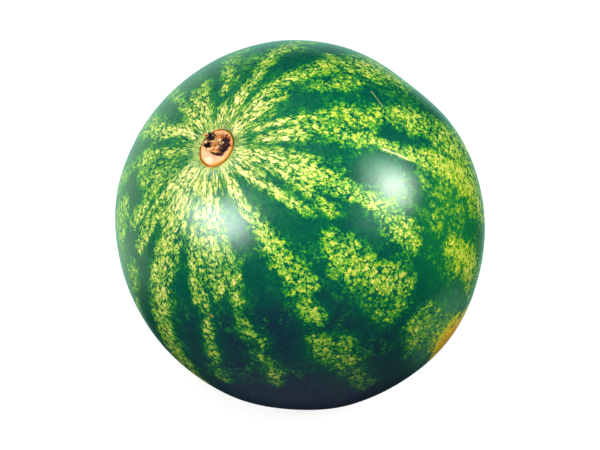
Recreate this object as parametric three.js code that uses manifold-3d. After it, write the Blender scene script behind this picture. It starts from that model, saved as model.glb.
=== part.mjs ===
// A whole round watermelon, as picked, standing the way it rests on a table.
//
// The fruit grew as one piece: a slightly long globe with a few broad swells and flats, a shallow
// hollow at each end and one small spot that is pressed flat where it stands. Three small pieces of
// other tissue sit on it: the corky callus that the stalk left in the stem end, the torn dry remains
// of the stalk on that callus, and the scar of the flower at the other end.
//
// Millimetres, +Z up. The origin is under the middle of the fruit, on the surface it rests on, and
// the stem end leans over towards -Y. Inside the leaning group the fruit has its own frame: its
// centre is the origin, +Z comes out of the stem end and +X is level.

import * as THREE from "three";
import Module from "manifold-3d";
import { mergeVertices } from "three/addons/utils/BufferGeometryUtils.js";

const wasm = await Module();
wasm.setup();

const DEGREE = Math.PI / 180;

// Driving dimensions.
const EQUATOR_DIAMETER = 219.6;
const FRUIT_LENGTH = 229;
const STEM_ELEVATION = 44.3 * DEGREE; // of the stem end above the horizon
const REST_DEPTH = 2.2; // how deep the lowest spot is pressed flat
const PIECE_GAP = 0.3; // left between two pieces that touch

const EQUATOR_RADIUS = EQUATOR_DIAMETER / 2;
const HALF_LENGTH = FRUIT_LENGTH / 2;
const LEAN = Math.PI / 2 - STEM_ELEVATION;

// The hollows at the two ends, measured along the skin from each end.
const STEM_HOLLOW = { depth: 2.2, spread: 30 };
const FLOWER_HOLLOW = { depth: 2.6, spread: 17 };

// A low rim of skin rings the callus, which stands in an oval seat inside it.
const RIM = { arc: 13.7, height: 0.8, spread: 2.2 };
const STEM_SEAT = { radius: 11.4, depth: 2.6, draft: 0.4 };
const FLOWER_SEAT = { radius: 4.7, depth: 0.9, draft: 0.3 };
const SEAT_OVAL = 0.12; // how much narrower the seat and its callus are along X
const SEAT_OVAL_REACH = 26;

// The callus is dished in its middle and round at its shoulder. Heights are above its underside.
const CALLUS = { radius: 10.9, middle: 2.3, shoulder: 3.4, shoulderShare: 0.8, edge: 1.9, chamfer: 0.6 };
const FLOWER_SCAR_RADIUS = 4.3;

// Broad swells, and flats where the height is below zero. Angles are in degrees: longitude turns
// from +X towards +Y in the fruit's own frame, and polar is measured from the stem end.
const SWELLS = [
  { longitude: 70, polar: 83, height: -2.9, spread: 15 },
  { longitude: 344, polar: 120, height: 1.5, spread: 18 },
  { longitude: 199, polar: 57, height: 1, spread: 13 },
  { longitude: 302, polar: 114, height: 1.1, spread: 13 },
  { longitude: 270, polar: 98, height: 0.8, spread: 14 },
  { longitude: 113, polar: 59, height: 0.8, spread: 20 },
  { longitude: 343, polar: 146, height: -1.2, spread: 16 },
  { longitude: 150, polar: 118, height: -1.4, spread: 26 },
  { longitude: 95, polar: 140, height: 1.2, spread: 22 },
];

const COLUMNS = 64; // of the skin, round the stem axis
const ROW_STEP = 5.6 * DEGREE;

// A smooth bell, 1 at zero and about a third at one.
function bell(t) {
  return Math.exp(-t * t);
}

// A unit direction in the fruit's own frame.
function direction(longitude, polar) {
  const across = Math.sin(polar);
  return new THREE.Vector3(across * Math.cos(longitude), across * Math.sin(longitude), Math.cos(polar));
}

// How far the skin is from the fruit's centre at a polar angle, before the swells.
function meridianRadius(polar) {
  const across = Math.sin(polar) / EQUATOR_RADIUS;
  const along = Math.cos(polar) / HALF_LENGTH;
  const stemArc = polar * HALF_LENGTH;
  const flowerArc = (Math.PI - polar) * HALF_LENGTH;
  return (
    1 / Math.hypot(across, along) -
    STEM_HOLLOW.depth * bell(stemArc / STEM_HOLLOW.spread) +
    RIM.height * bell((stemArc - RIM.arc) / RIM.spread) -
    FLOWER_HOLLOW.depth * bell(flowerArc / FLOWER_HOLLOW.spread)
  );
}

// A point of the meridian: its distance from the axis, and its height along the axis.
function meridianPoint(polar) {
  const radius = meridianRadius(polar);
  return new THREE.Vector2(radius * Math.sin(polar), radius * Math.cos(polar));
}

const STEM_SEAT_EDGE = meridianPoint((STEM_SEAT.radius + STEM_SEAT.draft) / HALF_LENGTH);
const STEM_SEAT_FLOOR = STEM_SEAT_EDGE.y - STEM_SEAT.depth;
const FLOWER_SEAT_EDGE = meridianPoint(Math.PI - (FLOWER_SEAT.radius + FLOWER_SEAT.draft) / HALF_LENGTH);
const FLOWER_SEAT_FLOOR = FLOWER_SEAT_EDGE.y + FLOWER_SEAT.depth;

// The meridian from the middle of the stem end's seat to the middle of the flower end's.
function skinProfile() {
  const stemArcs = [12.7, 13.7, 15, 17, 20, 24, 29, 35, 42];
  const flowerArcs = [42, 32, 24, 17, 12, 8.5];
  const firstRow = stemArcs.at(-1) / HALF_LENGTH + ROW_STEP;
  const lastRow = Math.PI - flowerArcs[0] / HALF_LENGTH - ROW_STEP / 2;
  const points = [
    new THREE.Vector2(0, STEM_SEAT_FLOOR),
    new THREE.Vector2(STEM_SEAT.radius, STEM_SEAT_FLOOR),
    STEM_SEAT_EDGE,
  ];
  for (const arc of stemArcs) points.push(meridianPoint(arc / HALF_LENGTH));
  for (let polar = firstRow; polar < lastRow; polar += ROW_STEP) points.push(meridianPoint(polar));
  for (const arc of flowerArcs) points.push(meridianPoint(Math.PI - arc / HALF_LENGTH));
  points.push(
    FLOWER_SEAT_EDGE,
    new THREE.Vector2(FLOWER_SEAT.radius, FLOWER_SEAT_FLOOR),
    new THREE.Vector2(0, FLOWER_SEAT_FLOOR),
  );
  return points;
}

// A profile turned round Z. Its points run from the top of the axis down to the bottom of it.
function turned(profile, columns) {
  return new THREE.LatheGeometry(profile.toReversed(), columns).rotateX(Math.PI / 2);
}

// Moves every vertex of a geometry by a function that changes the vector it is given.
function reshape(geometry, change) {
  const position = geometry.getAttribute("position");
  const point = new THREE.Vector3();
  for (let i = 0; i < position.count; i += 1) {
    point.fromBufferAttribute(position, i);
    change(point);
    position.setXYZ(i, point.x, point.y, point.z);
  }
  geometry.computeVertexNormals();
  return geometry;
}

const swells = SWELLS.map((swell) => ({
  centre: direction(swell.longitude * DEGREE, swell.polar * DEGREE),
  height: swell.height,
  spread: swell.spread * DEGREE,
}));

function addSwells(point) {
  const outward = point.clone().normalize();
  for (const swell of swells) {
    const height = swell.height * bell(outward.angleTo(swell.centre) / swell.spread);
    point.addScaledVector(outward, height);
  }
}

// Narrows the stem end along X, close to the seat only.
function makeSeatOval(point) {
  if (point.z < 0) return;
  point.x *= 1 - SEAT_OVAL * bell(Math.hypot(point.x, point.y) / SEAT_OVAL_REACH);
}

// The fruit leans its stem end over, and stands with its lowest spot below the surface until that
// spot is pressed flat. This also puts the origin under the middle of its box.
function leanAndStand(geometry) {
  geometry.rotateX(LEAN);
  geometry.computeBoundingBox();
  const box = geometry.boundingBox;
  const middle = box.getCenter(new THREE.Vector3());
  const centre = new THREE.Vector3(-middle.x, -middle.y, -box.min.z - REST_DEPTH);
  geometry.translate(centre.x, centre.y, centre.z);
  return centre;
}

function pressFlat(point) {
  point.z = Math.max(point.z, 0);
}

const fruitGeometry = turned(skinProfile(), COLUMNS);
reshape(fruitGeometry, addSwells);
reshape(fruitGeometry, makeSeatOval);
const fruitCentre = leanAndStand(fruitGeometry);
reshape(fruitGeometry, pressFlat);

const CALLUS_FLOOR = STEM_SEAT_FLOOR + PIECE_GAP;

// How high the callus's top is in the fruit's frame, at a share of its radius.
function callusTop(share) {
  const dish = THREE.MathUtils.smoothstep(share, 0.3, CALLUS.shoulderShare);
  const past = Math.max(share - CALLUS.shoulderShare, 0) / (1 - CALLUS.shoulderShare);
  const height = THREE.MathUtils.lerp(CALLUS.middle, CALLUS.shoulder, dish);
  return CALLUS_FLOOR + height - (CALLUS.shoulder - CALLUS.edge) * past * past;
}

function callusGeometry() {
  const shares = [0, 0.3, 0.45, 0.58, 0.7, 0.8, 0.88, 0.94, 0.98, 1];
  const columns = 40;
  const profile = shares.map((share) => new THREE.Vector2(share * CALLUS.radius, callusTop(share)));
  profile.push(
    new THREE.Vector2(CALLUS.radius, CALLUS_FLOOR + CALLUS.chamfer),
    new THREE.Vector2(CALLUS.radius - CALLUS.chamfer, CALLUS_FLOOR),
    new THREE.Vector2(0, CALLUS_FLOOR),
  );
  return reshape(turned(profile, columns), (point) => {
    point.x *= 1 - SEAT_OVAL;
  });
}

// Seeded random numbers from 0 to 1, so that the torn strands are the same every time.
function randomNumbers(seed) {
  let state = seed;
  return () => {
    state = (state * 1664525 + 1013904223) % 4294967296;
    return state / 4294967296;
  };
}

function solidOf(geometry) {
  const bare = geometry.clone();
  bare.deleteAttribute("normal");
  bare.deleteAttribute("uv");
  const merged = mergeVertices(bare, 1e-4);
  return new wasm.Manifold(
    new wasm.Mesh({
      numProp: 3,
      vertProperties: new Float32Array(merged.getAttribute("position").array),
      triVerts: new Uint32Array(merged.index.array),
    }),
  );
}

function geometryOf(solid) {
  const mesh = solid.getMesh();
  const geometry = new THREE.BufferGeometry();
  geometry.setAttribute("position", new THREE.BufferAttribute(new Float32Array(mesh.vertProperties), 3));
  geometry.setIndex(new THREE.BufferAttribute(new Uint32Array(mesh.triVerts), 1));
  geometry.computeVertexNormals();
  return geometry;
}

// The stalk's torn remains: a lumpy pad that lies on the callus off its middle, with dry strands
// that stand out of it. Most stand up in the pad. A big tuft reaches out over the rim, and a small
// one lies beside it.
const PAD = { x: 1.2, y: 1.7, halfWidth: 7.6, halfDepth: 6.6, height: 1.8 };
const STRANDS = { count: 22, length: [2.6, 4.2], thickness: [0.55, 0.85], rise: [22, 65] };
const TUFTS = [
  { count: 9, toward: 168, fan: 30, length: [4, 6.6], thickness: [0.7, 1], rise: [6, 22] },
  { count: 4, toward: 198, fan: 16, length: [3, 4.2], thickness: [0.65, 0.9], rise: [4, 14] },
];

function onCallus(x, y) {
  const share = Math.hypot(x / (1 - SEAT_OVAL), y) / CALLUS.radius;
  return callusTop(share) + PIECE_GAP;
}

function padGeometry() {
  const geometry = new THREE.SphereGeometry(1, 26, 10);
  return reshape(geometry, (point) => {
    const x = PAD.x + PAD.halfWidth * point.x;
    const y = PAD.y + PAD.halfDepth * point.y;
    const lumps = 1 + 0.3 * Math.sin(1.9 * x + 0.6) * Math.sin(1.7 * y + 1.1);
    const thickness = Math.max(point.z, 0) * PAD.height * lumps;
    point.set(x, y, onCallus(x, y) + thickness);
  });
}

// A tapered strand with its root at a point, running towards a longitude and rising by an angle.
function strandGeometry(root, longitude, rise, length, thickness) {
  const sides = 5;
  const strand = new THREE.ConeGeometry(thickness, length, sides);
  strand.translate(0, length / 2, 0);
  const along = direction(longitude, Math.PI / 2 - rise);
  strand.applyQuaternion(new THREE.Quaternion().setFromUnitVectors(new THREE.Vector3(0, 1, 0), along));
  return strand.translate(root.x, root.y, root.z);
}

function remnantGeometry() {
  const random = randomNumbers(7);
  const between = ([low, high]) => low + (high - low) * random();
  const strand = (x, y, longitude, sort) => {
    const root = new THREE.Vector3(x, y, onCallus(x, y) + PAD.height * 0.5);
    const rise = between(sort.rise) * DEGREE;
    return solidOf(strandGeometry(root, longitude, rise, between(sort.length), between(sort.thickness)));
  };
  let remnant = solidOf(padGeometry());
  for (let i = 0; i < STRANDS.count; i += 1) {
    const turn = (i * 137.5 + 20 * random()) * DEGREE;
    const share = 0.72 * Math.sqrt((i + 0.5) / STRANDS.count);
    const x = PAD.x + PAD.halfWidth * share * Math.cos(turn);
    const y = PAD.y + PAD.halfDepth * share * Math.sin(turn);
    remnant = remnant.add(strand(x, y, turn + (random() - 0.5) * 1.6, STRANDS));
  }
  for (const tuft of TUFTS) {
    for (let i = 0; i < tuft.count; i += 1) {
      const turn = (tuft.toward + tuft.fan * (i / (tuft.count - 1) - 0.5)) * DEGREE;
      const x = PAD.x + PAD.halfWidth * 0.7 * Math.cos(turn);
      const y = PAD.y + PAD.halfDepth * 0.7 * Math.sin(turn);
      remnant = remnant.add(strand(x, y, turn, tuft));
    }
  }
  return geometryOf(remnant);
}

// The flower's scar: a corky button with a sunk ring and a small nub, facing -Z.
function flowerScarGeometry() {
  const columns = 26;
  const outline = [
    [0, 0],
    [FLOWER_SCAR_RADIUS - 0.3, 0],
    [FLOWER_SCAR_RADIUS, 0.3],
    [FLOWER_SCAR_RADIUS, 0.9],
    [3.5, 1.35],
    [2.6, 1.3],
    [1.7, 0.95],
    [1.0, 1.1],
    [0.6, 1.7],
    [0, 1.9],
  ];
  const top = FLOWER_SEAT_FLOOR - PIECE_GAP;
  const profile = outline.map(([radius, depth]) => new THREE.Vector2(radius, top - depth));
  return turned(profile, columns);
}

function material(color, roughness) {
  return new THREE.MeshStandardMaterial({ color, roughness, metalness: 0 });
}

function piece(name, geometry, finish) {
  const mesh = new THREE.Mesh(geometry, finish);
  mesh.name = name;
  return mesh;
}

const ends = new THREE.Group();
ends.rotation.x = LEAN;
ends.position.copy(fruitCentre);
ends.add(
  piece("stem_callus", callusGeometry(), material(0xdd9a66, 0.75)),
  piece("stem_remnant", remnantGeometry(), material(0x6a3f1c, 0.9)),
  piece("flower_scar", flowerScarGeometry(), material(0x9a7d4a, 0.85)),
);

const watermelon = new THREE.Group();
watermelon.add(piece("fruit", fruitGeometry, material(0x2c7a3a, 0.35)), ends);

export default watermelon;
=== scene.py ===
# %% [markdown]
# # Dressing a whole watermelon
# A packed solid model gives this fruit its size and place. Here it gets its looks: a smooth striped
# rind, a corky stalk scar with torn dry stalk on it, and the scar of the flower at the far end.
# The lesson goes through frame, camera and tools, then piece by piece, then light.
# The solid model could be shown as it is, but its facets would show in every highlight.

# %% Load the solid model
import math
import random

import bpy
import numpy as np
from mathutils import Matrix, Vector


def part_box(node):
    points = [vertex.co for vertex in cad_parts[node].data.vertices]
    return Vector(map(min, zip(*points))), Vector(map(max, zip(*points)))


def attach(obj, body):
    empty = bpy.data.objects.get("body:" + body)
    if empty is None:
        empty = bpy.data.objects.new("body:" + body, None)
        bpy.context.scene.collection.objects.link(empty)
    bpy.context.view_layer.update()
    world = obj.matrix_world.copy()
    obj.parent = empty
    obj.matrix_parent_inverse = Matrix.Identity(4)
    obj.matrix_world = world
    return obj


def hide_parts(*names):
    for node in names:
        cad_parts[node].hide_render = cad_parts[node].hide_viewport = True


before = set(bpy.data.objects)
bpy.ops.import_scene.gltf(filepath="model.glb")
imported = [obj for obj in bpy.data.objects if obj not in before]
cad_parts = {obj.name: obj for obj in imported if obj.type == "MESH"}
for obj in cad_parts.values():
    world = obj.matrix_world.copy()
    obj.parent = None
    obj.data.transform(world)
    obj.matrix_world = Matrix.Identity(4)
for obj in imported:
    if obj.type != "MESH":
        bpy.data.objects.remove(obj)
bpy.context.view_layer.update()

print("nodes:", sorted(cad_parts))

# %% [markdown]
# ## The fruit's own frame
# The fruit leans: its stem end points forwards and up. What grew round the stem axis is easier to
# make upright and then lean over, and this step makes the matrix for that. The axis could be taken
# from the two ends of the solid model. It is typed in as one plain angle, and the two ends check it.
# In this frame +Z comes out of the stem end and +X is level. Polar angles are counted from the stem
# end, longitudes from +X towards +Y, and both are in degrees. SKIN_MM is the skin's mean distance
# from the fruit's middle.

# %% Find the stem axis
MM = 0.001
FRUIT_CENTRE = Vector((-0.07, -0.58, 109.85)) * MM
LEAN = math.radians(45.7)
SKIN_MM = 110

fruit_frame = Matrix.Translation(FRUIT_CENTRE) @ Matrix.Rotation(LEAN, 4, "X")
stem_middle = sum(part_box("stem_callus"), Vector()) / 2
flower_middle = sum(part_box("flower_scar"), Vector()) / 2
from_ends = (stem_middle - flower_middle).normalized()
stem_axis = (fruit_frame.to_3x3() @ Vector((0, 0, 1))).normalized()
print("stem axis:", stem_axis, "from the two ends:", from_ends)

# %% [markdown]
# ## Camera
# The camera looks down at the fruit by 25 degrees from the front right, 1.4 metres away, through a
# long lens, which keeps the fruit nearly as round as it is. A wide lens close by would bulge its
# middle. Small shifts centre the fruit in the frame.

# %% Place the camera
CAMERA_AZIMUTH = math.radians(36.03)
CAMERA_ELEVATION = math.radians(25)
CAMERA_DISTANCE = 1.40
IMAGE_WIDTH = 600

towards_camera = Vector((
    math.sin(CAMERA_AZIMUTH) * math.cos(CAMERA_ELEVATION),
    -math.cos(CAMERA_AZIMUTH) * math.cos(CAMERA_ELEVATION),
    math.sin(CAMERA_ELEVATION),
))
bpy.ops.object.camera_add(location=FRUIT_CENTRE + towards_camera * CAMERA_DISTANCE)
camera = bpy.context.object
camera.name = "camera"
camera.rotation_euler = towards_camera.to_track_quat("Z", "Y").to_euler()
camera.data.sensor_width = 36
camera.data.lens = 140.2
camera.data.shift_x = -0.9 / IMAGE_WIDTH
camera.data.shift_y = 0.6 / IMAGE_WIDTH
bpy.context.scene.camera = camera
print("camera at", camera.location)

# %% [markdown]
# ## Finishes from sums
# A finish is a tree of nodes, and long chains of Math nodes are hard to read. This small class
# wraps a socket, so that `1 - mask` or `stripe * 2` adds the Math nodes itself. The trees could be
# drawn in the shader editor, but as sums they can be read and changed in place.

# %% A socket that can be used in sums
class Wire:
    """The output of a node, used like a number."""

    def __init__(self, finish, socket):
        self.finish = finish
        self.socket = socket

    def __add__(self, other):
        return self.finish.math("ADD", self, other)

    def __radd__(self, other):
        return self.finish.math("ADD", other, self)

    def __sub__(self, other):
        return self.finish.math("SUBTRACT", self, other)

    def __rsub__(self, other):
        return self.finish.math("SUBTRACT", other, self)

    def __mul__(self, other):
        return self.finish.math("MULTIPLY", self, other)

    def __rmul__(self, other):
        return self.finish.math("MULTIPLY", other, self)

# %% [markdown]
# ## One way to add any node
# Every other node comes from one method. It takes the node's type, then its settings, because some
# of them change the sockets, and then the values or wires of its sockets. The short methods under it
# name the nodes that are used again and again.

# %% A finish
def paint(red, green, blue):
    """A screen colour, from 0 to 255, turned into the linear colour a shader needs."""
    linear = []
    for value in (red, green, blue):
        share = value / 255
        linear.append(((share + 0.055) / 1.055) ** 2.4 if value > 10 else share / 12.92)
    return (*linear, 1.0)


class Finish:
    """A material, or the surroundings, in the making."""

    def __init__(self, owner):
        self.owner = owner
        owner.use_nodes = True
        self.tree = owner.node_tree
        self.tree.nodes.clear()

    def node(self, kind, settings=(), inputs=(), output=0):
        made = self.tree.nodes.new(kind)
        for name, value in dict(settings).items():
            setattr(made, name, value)
        pairs = inputs.items() if isinstance(inputs, dict) else enumerate(inputs)
        for name, value in pairs:
            if isinstance(value, Wire):
                self.tree.links.new(value.socket, made.inputs[name])
            else:
                made.inputs[name].default_value = value
        return Wire(self, made.outputs[output]) if len(made.outputs) else None

    def attribute(self, name, output="Fac"):
        return self.node("ShaderNodeAttribute", {"attribute_name": name}, (), output)

    def noise(self, place, scale, detail, roughness, output="Fac"):
        sockets = {"Vector": place, "Scale": scale, "Detail": detail, "Roughness": roughness}
        return self.node("ShaderNodeTexNoise", {}, sockets, output)

    def cells(self, place, scale, feature="F1", output="Distance"):
        sockets = {"Vector": place, "Scale": scale}
        return self.node("ShaderNodeTexVoronoi", {"feature": feature}, sockets, output)

    def step(self, value, low, high):
        """0 below low, 1 above high, and smooth between them."""
        settings = {"interpolation_type": "SMOOTHSTEP"}
        sockets = {"Value": value, "From Min": low, "From Max": high}
        return self.node("ShaderNodeMapRange", settings, sockets)

    def ramp(self, value, stops):
        """A colour that changes with the value, through stops of (position, red, green, blue)."""
        made = self.node("ShaderNodeValToRGB", {}, {"Fac": value}, "Color")
        elements = made.socket.node.color_ramp.elements
        while len(elements) < len(stops):
            elements.new(0.5)
        for element, (position, *colour) in zip(elements, stops):
            element.position = position
            element.color = paint(*colour)
        return made

    def mix(self, factor, first, second):
        """Two colours mixed. The Mix node repeats its sockets' names, so they go by number."""
        sockets = {0: factor, 6: first, 7: second}
        return self.node("ShaderNodeMix", {"data_type": "RGBA"}, sockets, 2)

    def math(self, operation, *values):
        return self.node("ShaderNodeMath", {"operation": operation}, values)

    def vector(self, operation, *values):
        """A vector, or a plain number where the operation measures something."""
        output = 1 if operation in ("DOT_PRODUCT", "LENGTH", "DISTANCE") else 0
        return self.node("ShaderNodeVectorMath", {"operation": operation}, values, output)

    def bump(self, height, distance, strength):
        sockets = {"Height": height, "Distance": distance, "Strength": strength}
        return self.node("ShaderNodeBump", {}, sockets)

    def surface(self, **sockets):
        """Ends the tree with a Principled shader. Underscores in names stand for spaces."""
        named = {name.replace("_", " "): value for name, value in sockets.items()}
        shader = self.node("ShaderNodeBsdfPrincipled", {}, named)
        self.node("ShaderNodeOutputMaterial", {}, {"Surface": shader})
        print("finish:", self.owner.name, "with", len(self.tree.nodes), "nodes")
        return self.owner


print("finish tools:", [name for name in vars(Finish) if not name.startswith("_")])

# %% [markdown]
# ## Small tools for modelling
# Operators act on whatever is selected, so each piece is first selected alone. It is made upright
# and then leaned over, and applying the lean leaves the object at the origin, where the export
# expects it. Each piece could keep its own transform, but then no two would share coordinates.

# %% Tools that place a piece
def select_only(piece):
    bpy.ops.object.select_all(action="DESELECT")
    piece.select_set(True)
    bpy.context.view_layer.objects.active = piece


def lean_into_place(piece):
    select_only(piece)
    piece.matrix_world = fruit_frame @ piece.matrix_world
    bpy.ops.object.transform_apply()


def count_triangles(piece):
    return sum(len(face.vertices) - 2 for face in piece.data.polygons)


def finish_piece(piece, name, node, material):
    piece.name = name
    piece.data.name = name
    piece.data.materials.clear()
    piece.data.materials.append(material)
    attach(piece, "root")
    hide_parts(node)
    print(name, "has", count_triangles(piece), "triangles")


print("tools ready: placing")

# %% [markdown]
# ## Discs, rings and uneven skins
# The small pieces all grow out of a flat disc, which is extruded, and then inset ring by ring while
# the middle is lifted or lowered. A turned profile would give the same rings in one go, but this
# way each ring is one pair of numbers. After that a piece is closed, rounded off by subdivision and
# pressed in unevenly, because nothing that grew is perfectly smooth.

# %% Tools that shape a piece
def start_disc(radius, height, sides):
    bpy.ops.object.select_all(action="DESELECT")
    place = (0, 0, height)
    bpy.ops.mesh.primitive_circle_add(vertices=sides, radius=radius, fill_type="NGON", location=place)
    disc = bpy.context.object
    select_only(disc)
    bpy.ops.object.transform_apply()
    bpy.ops.object.mode_set(mode="EDIT")
    bpy.ops.mesh.select_mode(type="FACE")
    bpy.ops.mesh.select_all(action="SELECT")
    return disc


def extrude(move, widen=1):
    bpy.ops.mesh.extrude_region_move(TRANSFORM_OT_translate={"value": tuple(move)})
    bpy.ops.transform.resize(value=(widen, widen, 1))


def add_rings(steps):
    """Insets the selected face and lifts what is inside, once for each (inset, lift) in mm."""
    for inset, lift in steps:
        bpy.ops.mesh.inset(thickness=inset * MM, depth=0)
        bpy.ops.transform.translate(value=(0, 0, lift * MM))


def places_in_mm(piece):
    flat = np.empty(len(piece.data.vertices) * 3)
    piece.data.vertices.foreach_get("co", flat)
    return flat.reshape(-1, 3) / MM


def press_unevenly(piece, strength, size, depth=2, group=""):
    """Pushes the surface in by up to the strength, in clouds of the given size, both in mm."""
    clouds = bpy.data.textures.new(piece.name + "_clouds", "CLOUDS")
    clouds.noise_scale = size * MM
    clouds.noise_depth = depth
    select_only(piece)
    press = piece.modifiers.new("press", "DISPLACE")
    press.texture = clouds
    press.texture_coords = "LOCAL"
    press.vertex_group = group
    press.mid_level = 1.0
    press.strength = strength * MM
    bpy.ops.object.modifier_apply(modifier="press")


def round_off(piece):
    select_only(piece)
    rounding = piece.modifiers.new("rounding", "SUBSURF")
    rounding.levels = 2
    bpy.ops.object.modifier_apply(modifier="rounding")
    bpy.ops.object.shade_smooth()


def close_up(inwards=False):
    """Welds a piece, turns all its faces one way and leaves Edit Mode."""
    bpy.ops.mesh.select_all(action="SELECT")
    bpy.ops.mesh.remove_doubles(threshold=0.001 * MM)
    bpy.ops.mesh.normals_make_consistent(inside=inwards)
    bpy.ops.object.mode_set(mode="OBJECT")


def keep_field(piece, name, values):
    """Stores one number, or one vector, for every point of a piece."""
    kind, key = ("FLOAT", "value") if values.ndim == 1 else ("FLOAT_VECTOR", "vector")
    field = piece.data.attributes.new(name, kind, "POINT")
    field.data.foreach_set(key, np.ascontiguousarray(values, dtype=np.float32).ravel())


print("tools ready: shaping")

# %% [markdown]
# ## The rind's form
# The rind is one closed, smooth skin. A sphere could be stretched to fit, but the solid model
# already has every swell and flat. So its mesh is copied, its triangles are joined into squares, and
# a subdivision rounds the squares off. The edges of the two seats, in which the callus and the
# flower's scar stand, are creased first to stay crisp.

# %% Copy the fruit and round it off
SEAT_REACH = 12.0 * MM
skin = bpy.data.objects.new("skin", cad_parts["fruit"].data.copy())
bpy.context.scene.collection.objects.link(skin)
select_only(skin)
bpy.ops.object.mode_set(mode="EDIT")
bpy.ops.mesh.select_all(action="SELECT")
bpy.ops.mesh.remove_doubles(threshold=0.01 * MM)
bpy.ops.mesh.tris_convert_to_quads(face_threshold=math.radians(60), shape_threshold=math.radians(120))
bpy.ops.mesh.select_mode(type="EDGE")
bpy.ops.mesh.select_all(action="DESELECT")
bpy.ops.object.mode_set(mode="OBJECT")
upright = fruit_frame.inverted()
near_axis = [(upright @ vertex.co).xy.length < SEAT_REACH for vertex in skin.data.vertices]
for edge in skin.data.edges:
    edge.select = all(near_axis[corner] for corner in edge.vertices)
bpy.ops.object.mode_set(mode="EDIT")
bpy.ops.transform.edge_crease(value=0.9)
bpy.ops.object.mode_set(mode="OBJECT")
round_off(skin)
print("skin has", count_triangles(skin), "triangles")

# %% [markdown]
# ## A skin that is not perfectly even
# A real rind is never a perfect curve. Very shallow hollows, a few tenths of a millimetre deep,
# break up the edges of the highlights. Bump shading could fake them, but real hollows also show
# along the outline. They only go inwards, so the fruit keeps its size, and a vertex group fades them
# out low down, so that the spot on which the fruit rests stays flat.

# %% Press shallow hollows into the skin
free = skin.vertex_groups.new(name="free")
for vertex in skin.data.vertices:
    free.add([vertex.index], min(max(vertex.co.z / (6 * MM) - 0.2, 0), 1), "REPLACE")
press_unevenly(skin, 0.45, 34, group="free")
skin.vertex_groups.clear()
print("lowest point of the skin in mm:", min(v.co.z for v in skin.data.vertices) / MM)

# %% [markdown]
# ## Where each point of the skin is
# The pattern grew with the fruit, so it follows the fruit's own polar angle and longitude. The
# finish could work them out, but here every point gets them once, and they can be checked.

# %% Polar angle and longitude of every point
own = (places_in_mm(skin) - np.array(FRUIT_CENTRE) / MM) @ np.array(fruit_frame.to_3x3())
polar = np.degrees(np.arctan2(np.hypot(own[:, 0], own[:, 1]), own[:, 2]))
longitude = np.degrees(np.arctan2(own[:, 1], own[:, 0])) % 360
print("polar angles from", polar.min().round(2), "to", polar.max().round(2))


def soft_step(value, low, high):
    share = np.clip((value - low) / (high - low), 0, 1)
    return share * share * (3 - 2 * share)

# %% [markdown]
# ## The light stripes
# Light stripes run from the stem to the flower, and each one is a row of ragged patches. They could
# be a wave round the axis, but real ones branch, break off and wander, so each patch is painted as a
# stroke of a soft brush. A stroke is its strength, and then places on its middle line as (polar,
# longitude, half width) in degrees. A weak stroke only lets scattered light blotches through.

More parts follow.
